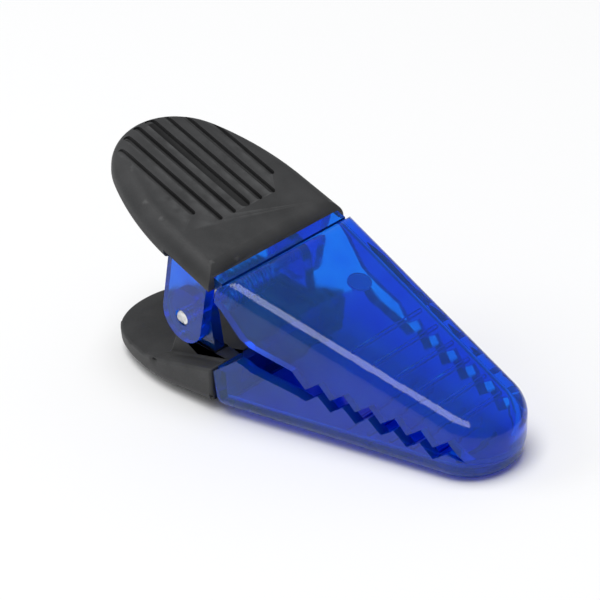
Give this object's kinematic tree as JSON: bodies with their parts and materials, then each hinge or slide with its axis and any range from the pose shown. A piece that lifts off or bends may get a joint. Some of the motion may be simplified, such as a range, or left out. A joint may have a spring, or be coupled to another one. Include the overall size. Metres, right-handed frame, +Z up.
{
  "type": "sectioning clip",
  "caption": "Spring clip for holding hair sections: toothed see-through jaws, rubber grips, a steel hinge pin and a torsion spring.",
  "frame": {"origin": "middle of the clip's box at the height of the surface it lies on", "axes": "+X towards the nose of the jaws, +Y across the clip along the hinge pin, +Z up; the clip lies on its lower lever"},
  "size_m": [0.0877, 0.0312, 0.041],
  "materials": {
    "jaw_plastic": "clear blue moulded plastic, glossy",
    "grip_rubber": "matte black rubber",
    "steel": "plain drawn steel"
  },
  "bodies": {
    "lower": {"lower_lever": "jaw_plastic", "lower_grip": "grip_rubber", "hinge_pin": "steel", "torsion_spring": "steel"},
    "upper": {"upper_lever": "jaw_plastic", "upper_grip": "grip_rubber"}
  },
  "joints": [
    {"name": "jaw_hinge", "type": "hinge", "parent": "lower", "child": "upper", "pos_m": [-0.01452, 0, 0.01582], "axis": [0, -1, 0], "range_deg": [0, 64], "stiffness_Nm_per_rad": 0.15, "springref_deg": -68.75, "deforming": ["torsion_spring"]}
  ]
}
